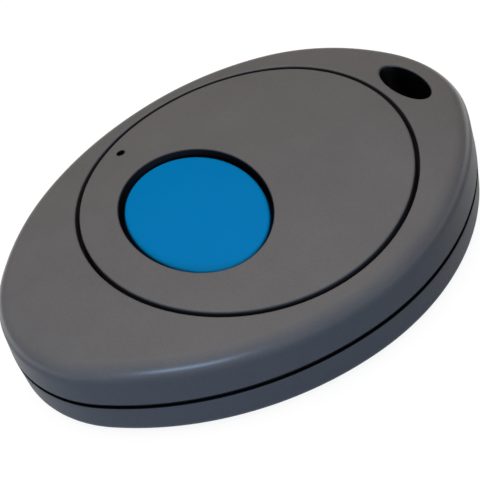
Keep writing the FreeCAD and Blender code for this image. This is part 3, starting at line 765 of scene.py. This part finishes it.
# The face disc is a moulding of its own that lies in the recess with an even groove round it. It
# carries on the case's crown, its oval hole takes the button, and three pegs are staked below.
disc_radius = 18.775
disc_edge_radius = 0.25
disc_skin = 1.4
disc_rim = 1.4
button_hole_lip = 0.2
collar_grow = 1.8
stake_circle = 16.4
stake_turns = (0, math.pi / 2, -math.pi / 2)
stake_radius = 0.8
stake_head_radius = 1.3
stake_head = 0.4
lamp_place = (disc_x - 7.5, 14.95)
lamp_hole_radius = 0.45
lamp_hole_lip = 0.08
lamp_margin = 0.3          # from the lamp hole to the window round it in the even grid
disc_shade = -0.04         # how far out of the disc's edge the groove's shade begins
button_hole_shade = 0.08


def outer_edge(outline, radius, level):
    """Rows of the rounding of a face's outer edge, from the side up to the face.

    At each angle of a quarter turn, a row lies the radius times one less the cosine in from the
    outline, and the radius times one less the sine below the face.
    """
    rows = []
    for a in quarter:
        plan = outline(-radius * (1 - math.cos(a)))
        rows.append(ring(plan, level(plan) - radius * (1 - math.sin(a))))
    return rows


polar = seam + np.linspace(0, 2 * math.pi, columns, endpoint=False)
edge = outer_edge(lambda out: circle(polar, disc_middle, disc_radius + out), disc_edge_radius,
                  crown)
hole = hole_lip(lambda out: oval(polar, button_middle, button_hole_half, out), button_hole_lip,
                crown, quarter)
face = Skin([ring(plan, crown(plan))
             for plan in between(edge[-1][:, :2], hole[0][:, :2], np.linspace(0, 1, 44))])
collar = oval(polar, button_middle, button_hole_half, collar_grow)
core = circle(polar, disc_middle, disc_radius - disc_rim)
under = Skin([ring(plan, crown(plan, disc_skin))
              for plan in between(core, collar, np.linspace(0, 1, 36))])
skins = [Skin([ring(edge[0][:, :2], deck_top)] + edge), face,
         Skin(hole + [ring(hole[-1][:, :2], deck_top), ring(collar, deck_top), under.points[-1]]),
         under, Skin([under.points[0], ring(core, deck_top), ring(edge[0][:, :2], deck_top)])]
first, last, left, right = face.block(lamp_place, lamp_hole_radius + lamp_margin)
rows_near = np.hypot(*(under.points[:, (left + right) // 2, :2] - lamp_place).T)
first_below = int(rows_near.argmin()) - (last - first) // 2
above = face.open(first, last, left, right)
below = under.open(first_below, first_below + last - first, left, right)
turn, turn_below = angle_in(above, lamp_place), angle_in(below, lamp_place)
mouth = hole_lip(lambda out: circle(turn, lamp_place, lamp_hole_radius + out), lamp_hole_lip,
                 crown, quarter[::2])
plan = circle(turn_below, lamp_place, lamp_hole_radius)
skins.append(Skin(inwards(above, mouth[0][:, :2], crown) + mouth
                  + [ring(plan, crown(plan, disc_skin)), below]))
head_bottom = deck_bottom - stake_head
peg_root = crown_top - disc_skin - edge_break
for turn in stake_turns:
    skins.append(turned(circle(turn, disc_middle, stake_circle), [
        (0, head_bottom), (stake_head_radius - edge_break, head_bottom),
        (stake_head_radius, head_bottom + edge_break), (stake_head_radius, deck_bottom),
        (stake_radius, deck_bottom), (stake_radius, peg_root), (0, peg_root)]))
face_disc = build("disc_cover", skins, "case", "face_disc")


def disc_painted_shade(finish):
    """Painted shade in the disc's gaps: its edge in the groove, the button's hole and the lamp's.
    """
    groove = 1 - finish.within(disc_middle, (disc_radius, disc_radius), disc_shade)
    lamp_hole = finish.within(lamp_place, (lamp_hole_radius, lamp_hole_radius), lamp_hole_lip)
    return groove + finish.within(button_middle, button_hole_half, button_hole_shade) + lamp_hole


face_disc.data.materials.append(case_plastic("disc_plastic", disc_painted_shade))

# The light guide ends in the small hole of the disc. It is smoky clear plastic, so the hole looks
# black while the lamp is off.
finish = Finish("clear_plastic", Transmission_Weight=0.35, IOR=1.49)
streak = finish.noise(2.0, 2.0)
dress(finish.apply(
    Base_Color=finish.mix(streak, rgb(0.010, 0.010, 0.012), rgb(0.020, 0.020, 0.022)),
    Roughness=0.25 + 0.1 * streak, Normal=finish.bump(streak, 0.01)), "light_guide")

# The thumb button is an oval cap of matte blue plastic, a little below the disc. Its flange stops
# under the disc, and its stem stands on the switch.
button_half = (7.35, 9.9)
button_sink = 0.6
button_skin = 1.3
button_wall = 1.2
button_edge = 0.4
button_shade = -0.05       # how far out of the cap's edge the gap's shade begins
flange_reach = 0.7
flange_thickness = 0.8
stem_radius = 2.2
flange_bottom = span("push_button")[0, 2]
flange_top = flange_bottom + flange_thickness
stem_end = span("switch_plunger")[1, 2]


def cap_top(plan):
    """The level of the cap over plan points: the crown, sunk by the same depth all over."""
    return crown(plan, button_sink)


edge = outer_edge(lambda out: oval(polar, button_middle, button_half, out), button_edge, cap_top)
pole = np.tile(button_middle, (columns, 1))
cap = [ring(plan, cap_top(plan))
       for plan in between(edge[-1][:, :2], pole, np.linspace(0, 1, 30))]
inside = oval(polar, button_middle, button_half, -button_wall)
stem = circle(polar, button_middle, stem_radius)
cap_ceiling = [ring(plan, crown(plan, button_sink + button_skin))
               for plan in between(stem, inside, np.linspace(0, 1, 8))]
flange = oval(polar, button_middle, button_hole_half, flange_reach)
button = build("thumb_cap", [Skin(
    [ring(pole, stem_end), ring(stem, stem_end)] + cap_ceiling
    + [ring(inside, flange_bottom), ring(flange, flange_bottom), ring(flange, flange_top),
       ring(edge[0][:, :2], flange_top)] + edge + cap[1:])], "button", "push_button")
finish = Finish("button_plastic", Specular_IOR_Level=0.04)
clouds, grain = finish.noise(0.15, 2.0), finish.noise(5.0, 3.0, 0.6)
blue = finish.mix(clouds * 0.7 + grain * 0.3, rgb(0.0, 0.193, 0.487), rgb(0.0, 0.222, 0.549))
# The cap's sides, outside its top, are painted nearly black: painted shade of the gap round the
# cap.
on_cap = finish.within(button_middle, button_half, button_shade)
button.data.materials.append(finish.apply(
    Base_Color=finish.mix(on_cap, rgb(0.002, 0.006, 0.015), blue),
    Roughness=0.6 + 0.1 * (grain - 0.5), Normal=finish.bump(grain, 0.012)))

# The floor is plain and pale. The camera, reflections and clear parts see it white, and its
# diffuse part keeps the object's shadow.
floor_reach = 3.0          # in metres
floor_glow = 0.91          # with the light that falls on it, this comes to white
corners = [(x * floor_reach, y * floor_reach, 0) for x, y in ((-1, -1), (1, -1), (1, 1), (-1, 1))]
mesh = bpy.data.meshes.new("studio_floor")
mesh.from_pydata(corners, [], [(0, 1, 2, 3)])
studio_floor = bpy.data.objects.new("studio_floor", mesh)
bpy.context.scene.collection.objects.link(studio_floor)
finish = Finish("floor_paper", Roughness=0.9, Specular_IOR_Level=0.0, Emission_Strength=1.0)
camera_ray, glossy_ray, clear_ray = (
    finish.node("LightPath", {}, {}, "Is %s Ray" % kind)
    for kind in ("Camera", "Glossy", "Transmission"))
fibre = finish.noise(0.05, 2.0)
mesh.materials.append(finish.apply(
    Base_Color=finish.mix(fibre, rgb(0.15, 0.15, 0.15), rgb(0.17, 0.17, 0.17)),
    Emission_Color=finish.mix(camera_ray + glossy_ray + clear_ray, rgb(0, 0, 0),
                              rgb(floor_glow, floor_glow, floor_glow))))

# Studio light: a broad warm lamp above, a cool strip low in front that draws the bright line along
# the rim, and a cool surround.
lamp_distance = 0.55       # in metres, like the lamps' sizes
lamp_power = (math.pi * lamp_distance) ** 2   # a white surface that faces it renders as 1
lamps = (                  # name, degrees round and up, width and height, colour
    ("lamp_over", 180, 86, (0.5, 0.5), (0.98, 0.87, 0.74)),
    ("lamp_front", -41, 19, (0.28, 0.07), (0.17, 0.255, 0.385)),
)
surround = rgb(0.02, 0.05, 0.12)


def direction(azimuth, elevation):
    """The direction that lies so many degrees round from the front and so many up."""
    azimuth, elevation = math.radians(azimuth), math.radians(elevation)
    return Vector((math.sin(azimuth) * math.cos(elevation),
                   -math.cos(azimuth) * math.cos(elevation), math.sin(elevation)))


def stand(name, data, towards, spot, roll=0.0):
    """Put a lamp or a camera at a spot, facing back along the direction that led there."""
    holder = bpy.data.objects.new(name, data)
    holder.location = spot
    holder.rotation_mode = "QUATERNION"
    holder.rotation_quaternion = (towards.to_track_quat("Z", "Y")
                                  @ Quaternion((0, 0, 1), math.radians(roll)))
    bpy.context.scene.collection.objects.link(holder)
    return holder


for name, azimuth, elevation, size, colour in lamps:
    lamp = bpy.data.lights.new(name, "AREA")
    lamp.shape = "RECTANGLE"
    lamp.size, lamp.size_y = size
    lamp.energy = lamp_power
    lamp.color = colour
    towards = direction(azimuth, elevation)
    stand(name, lamp, towards, towards * lamp_distance)
world = bpy.data.worlds.new("surround")
bpy.context.scene.world = world
world.use_nodes = True
world.node_tree.nodes["Background"].inputs["Color"].default_value = surround
world.node_tree.nodes["Background"].inputs["Strength"].default_value = 1.0

# The camera is a long lens close by. It looks down on the near side of the case from the left,
# and is rolled.
camera_azimuth = -21.36
camera_elevation = 44.17
camera_roll = -17.74
camera_distance = 167.0
camera_lens = 114.87
camera_clip = 0.001        # in metres
aim = (-2.214, -3.483, 7.174)
camera = bpy.data.cameras.new("camera")
camera.lens = camera_lens
camera.clip_start = camera_clip
back = direction(camera_azimuth, camera_elevation)
bpy.context.scene.camera = stand("camera", camera, back,
                                 (Vector(aim) + back * camera_distance) * mm, camera_roll)
bpy.context.scene.view_settings.view_transform = "Standard"
